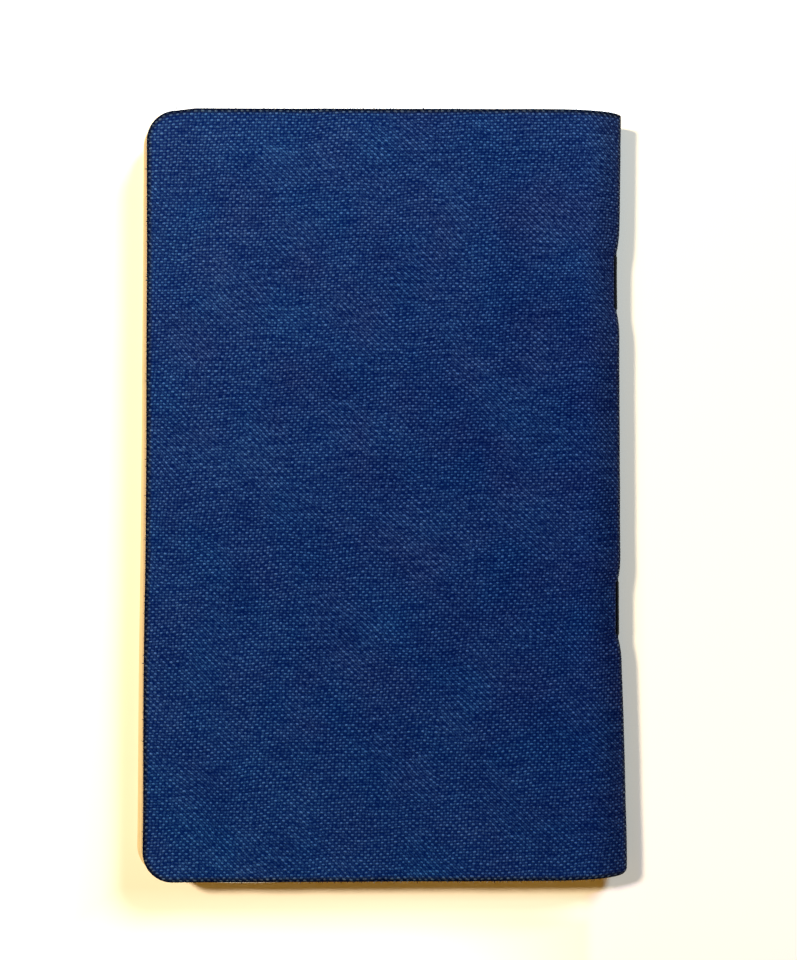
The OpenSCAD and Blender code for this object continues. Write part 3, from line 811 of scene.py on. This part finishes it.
def hinge_blend(front):
    """Two body names and the two points, in metres, at which a cover's bend would start and stop: the nearer
    point first for the rear cover and last for the front. Nothing here bends the cover."""
    near = (SPINE_X - BEND_FROM) * MM, 0.0, HALF_T * MM
    far = (SPINE_X - BEND_TO) * MM, 0.0, HALF_T * MM
    return ("front_cover", "leaves", far, near) if front else ("leaves", "rear_cover", near, far)


# Operators

class POCKETBOOK_OT_cloth(bpy.types.Operator):
    """Adds the woven cloth of both covers, running on round the fold"""

    bl_idname = "pocket_book.cloth"
    bl_label = "Cover cloth"

    def execute(self, context):
        sizes = context.scene.pocket_book_sizes
        material = dyed_plain_weave()
        for side, front in (("rear", False), ("front", True)):
            piece = cover_layer(f"{side}_book_cloth", 0.0, UNDER_CLOTH, sizes.edge_softness / MM, front, 1.5,
                                relief=0.03, seed=3 + front, loose_ends=sizes.loose_ends)
            finish_piece(piece, material, hinge_blend(front), "book_cloth", f"{side}_cover_cloth")
        return {"FINISHED"}


class POCKETBOOK_OT_card(bpy.types.Operator):
    """Adds the card of both covers"""

    bl_idname = "pocket_book.card"
    bl_label = "Cover card"

    def execute(self, context):
        material = calendered_card()
        for side, front in (("rear", False), ("front", True)):
            piece = cover_layer(f"{side}_card", UNDER_CLOTH + 0.01, UNDER_CARD - 0.01, 0.05, front, 3.0)
            finish_piece(piece, material, hinge_blend(front), "cover_card", f"{side}_cover_card")
        return {"FINISHED"}


class POCKETBOOK_OT_endpapers(bpy.types.Operator):
    """Adds the endpapers pasted inside the covers"""

    bl_idname = "pocket_book.endpapers"
    bl_label = "Endpapers"

    def execute(self, context):
        material = wove_paper("uncoated_wove_endpaper", False)
        for side, front in (("rear", False), ("front", True)):
            piece = cover_layer(f"{side}_paste_down", UNDER_CARD, UNDER_ENDPAPER - 0.01, 0.03, front, 3.0)
            finish_piece(piece, material, hinge_blend(front), "endpaper", f"{side}_endpaper")
        return {"FINISHED"}


class POCKETBOOK_OT_sheets(bpy.types.Operator):
    """Adds the section of folded sheets"""

    bl_idname = "pocket_book.sheets"
    bl_label = "Folded sheets"

    def execute(self, context):
        piece = folded_sheets("folded_sheets", context.scene.pocket_book_sizes.sheets)
        finish_piece(piece, wove_paper("uncoated_wove_leaves", True), "leaves", "leaves", "text_block")
        return {"FINISHED"}


class POCKETBOOK_OT_stitches(bpy.types.Operator):
    """Adds the two wire stitches"""

    bl_idname = "pocket_book.stitches"
    bl_label = "Wire stitches"

    def execute(self, context):
        material = tarnished_wire()
        for seed, (where, middle) in enumerate(STITCH_Y.items()):
            piece = bent_wire(f"{where}_wire", middle, 5 + seed)
            finish_piece(piece, material, "leaves", "stitching_wire", f"{where}_stitch")
        return {"FINISHED"}


class POCKETBOOK_OT_stage(bpy.types.Operator):
    """Adds the floor, the lamps, the world and the camera"""

    bl_idname = "pocket_book.stage"
    bl_label = "Stage"

    def execute(self, context):
        scene = context.scene
        scene.view_settings.view_transform = "Standard"
        # Low enough for the cloth's threads to stand on it
        size, low = 3000.0, -0.04
        corners = np.array([[-size, -size, low], [size, -size, low], [size, size, low], [-size, size, low]])
        floor = mesh_object("floor", corners, [(0, 1, 2, 3)], smooth=False)
        floor.data.materials.append(pale_floor())
        for name, place, size, watts, tint in LAMPS:
            lamp = bpy.data.objects.new(name, bpy.data.lights.new(name, "AREA"))
            lamp.data.shape = "DISK"
            lamp.data.size = size
            lamp.data.energy = watts
            lamp.data.color = tint
            lamp.location = place
            away = np.array(place) / np.linalg.norm(place)
            lamp.rotation_euler = (math.acos(away[2]), 0, math.atan2(away[1], away[0]) + math.pi / 2)
            scene.collection.objects.link(lamp)
        world = bpy.data.worlds.new("studio")
        world.use_nodes = True
        tree = world.node_tree
        tree.nodes.clear()
        soft = add(tree, "ShaderNodeBackground", None, {"Color": (1.0, 0.48, 0.05, 1.0), "Strength": 0.25})
        white = add(tree, "ShaderNodeBackground", None, {"Color": (1, 1, 1, 1), "Strength": 1.0})
        both = add(tree, "ShaderNodeMixShader", None, {0: seen_white(tree), 1: soft, 2: white})
        add(tree, "ShaderNodeOutputWorld", None, {"Surface": both})
        scene.world = world
        camera = bpy.data.objects.new("camera", bpy.data.cameras.new("camera"))
        camera.data.sensor_width = 36.0
        camera.data.lens = 36.0 * CAMERA_FOCUS
        camera.data.clip_start = 0.005
        camera.location = (np.array(CAMERA_PLACE) + [SPINE_X, 0, 0]) * MM
        camera.rotation_euler = CAMERA_TURN
        scene.collection.objects.link(camera)
        scene.camera = camera
        return {"FINISHED"}


PIECES = (
    POCKETBOOK_OT_cloth, POCKETBOOK_OT_card, POCKETBOOK_OT_endpapers, POCKETBOOK_OT_sheets,
    POCKETBOOK_OT_stitches, POCKETBOOK_OT_stage,
)


class POCKETBOOK_PT_pieces(bpy.types.Panel):
    """Lists the book's pieces and their sizes and colours"""

    bl_idname = "POCKETBOOK_PT_pieces"
    bl_label = "Pocket book"
    bl_space_type = "VIEW_3D"
    bl_region_type = "UI"
    bl_category = "Pocket book"

    def draw(self, context):
        for group in (context.scene.pocket_book_sizes, context.scene.pocket_book_colours):
            for key in group.__annotations__:
                self.layout.prop(group, key)
        for piece in PIECES:
            self.layout.operator(piece.bl_idname)


CLASSES = (PocketBookSizes, PocketBookColours, *PIECES, POCKETBOOK_PT_pieces)


def register():
    for each in CLASSES:
        bpy.utils.register_class(each)
    bpy.types.Scene.pocket_book_sizes = bpy.props.PointerProperty(type=PocketBookSizes)
    bpy.types.Scene.pocket_book_colours = bpy.props.PointerProperty(type=PocketBookColours)


def unregister():
    del bpy.types.Scene.pocket_book_colours
    del bpy.types.Scene.pocket_book_sizes
    for each in reversed(CLASSES):
        bpy.utils.unregister_class(each)


def main():
    """Makes every piece in order."""
    register()
    for piece in PIECES:
        group, name = piece.bl_idname.split(".")
        getattr(getattr(bpy.ops, group), name)()


if __name__ == "__main__":
    main()
